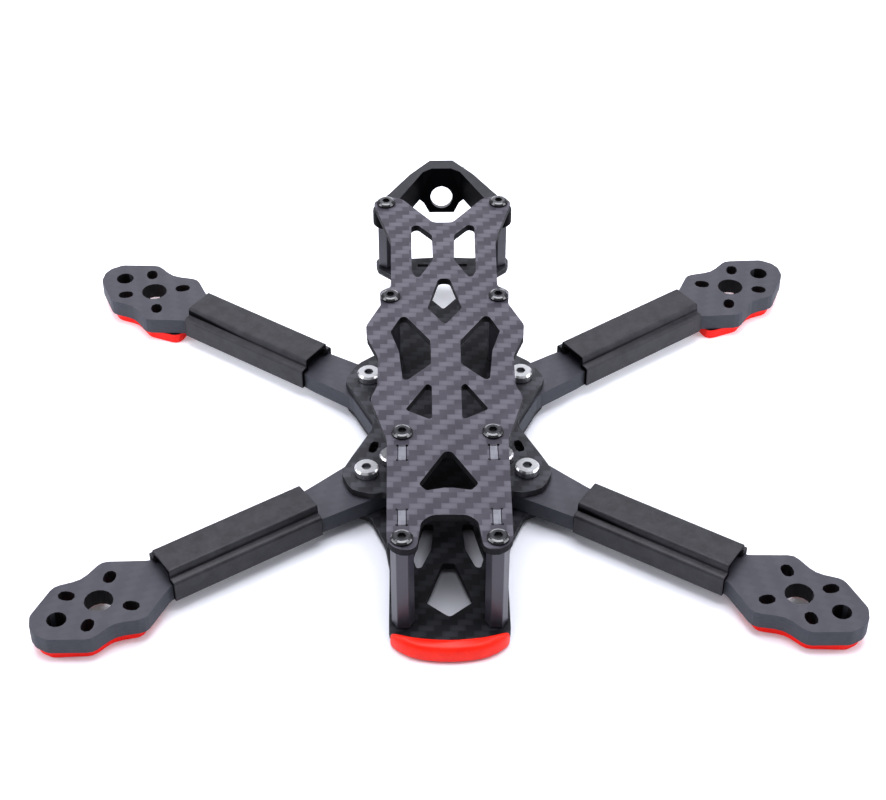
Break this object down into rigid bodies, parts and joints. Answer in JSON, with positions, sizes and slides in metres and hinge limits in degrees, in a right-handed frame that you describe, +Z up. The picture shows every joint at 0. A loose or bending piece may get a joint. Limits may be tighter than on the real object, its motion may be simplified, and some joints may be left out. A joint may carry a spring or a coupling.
{
  "type": "racing drone frame",
  "caption": "Bare quadcopter frame: four flat arms clamped between plates, a raised top plate on standoffs, soft feet, a nose bumper and an antenna mount.",
  "frame": {"origin": "on the ground under the middle of the frame's outline", "axes": "+X to the right across the arms, +Y towards the tail, +Z up; the nose, camera bay and red bumper face -Y"},
  "size_m": [0.2148, 0.186, 0.034],
  "materials": {
    "carbon_plate": "satin woven carbon laminate",
    "carbon_arm": "satin carbon laminate, cut edges",
    "cover_plastic": "satin moulded",
    "red_rubber": "satin soft plastic",
    "black_rubber": "satin soft plastic",
    "black_steel": "black oxide",
    "silver_steel": "bright",
    "dark_aluminium": "dark grey anodised"
  },
  "bodies": {
    "root": {"arm_cover_front_left": "cover_plastic", "arm_cover_front_right": "cover_plastic", "arm_cover_rear_left": "cover_plastic", "arm_cover_rear_right": "cover_plastic", "arm_front_left": "carbon_arm", "arm_front_right": "carbon_arm", "arm_nut_front_left": "silver_steel", "arm_nut_front_right": "silver_steel", "arm_nut_rear_left": "silver_steel", "arm_nut_rear_right": "silver_steel", "arm_pad_front_left": "red_rubber", "arm_pad_front_right": "red_rubber", "arm_pad_rear_left": "red_rubber", "arm_pad_rear_right": "red_rubber", "arm_rear_left": "carbon_arm", "arm_rear_right": "carbon_arm", "arm_screw_front_left": "silver_steel", "arm_screw_front_right": "silver_steel", "arm_screw_rear_left": "silver_steel", "arm_screw_rear_right": "silver_steel", "bottom_plate": "carbon_plate", "camera_plate_left": "carbon_plate", "camera_plate_right": "carbon_plate", "lower_screw_neck_left": "black_steel", "lower_screw_neck_right": "black_steel", "lower_screw_nose_left": "black_steel", "lower_screw_nose_right": "black_steel", "lower_screw_shoulder_left": "black_steel", "lower_screw_shoulder_right": "black_steel", "lower_screw_tail_left": "black_steel", "lower_screw_tail_right": "black_steel", "mid_plate": "carbon_plate", "nose_bumper": "red_rubber", "stack_nut_front_left": "silver_steel", "stack_nut_front_right": "silver_steel", "stack_nut_rear_left": "silver_steel", "stack_nut_rear_right": "silver_steel", "stack_screw_front_left": "silver_steel", "stack_screw_front_right": "silver_steel", "stack_screw_rear_left": "silver_steel", "stack_screw_rear_right": "silver_steel", "standoff_neck_left": "dark_aluminium", "standoff_neck_right": "dark_aluminium", "standoff_nose_left": "dark_aluminium", "standoff_nose_right": "dark_aluminium", "standoff_shoulder_left": "dark_aluminium", "standoff_shoulder_right": "dark_aluminium", "standoff_tail_left": "dark_aluminium", "standoff_tail_right": "dark_aluminium", "tail_mount": "black_rubber", "top_plate": "carbon_plate", "top_screw_neck_left": "black_steel", "top_screw_neck_right": "black_steel", "top_screw_nose_left": "black_steel", "top_screw_nose_right": "black_steel", "top_screw_shoulder_left": "black_steel", "top_screw_shoulder_right": "black_steel", "top_screw_tail_left": "black_steel", "top_screw_tail_right": "black_steel"}
  },
  "joints": []
}
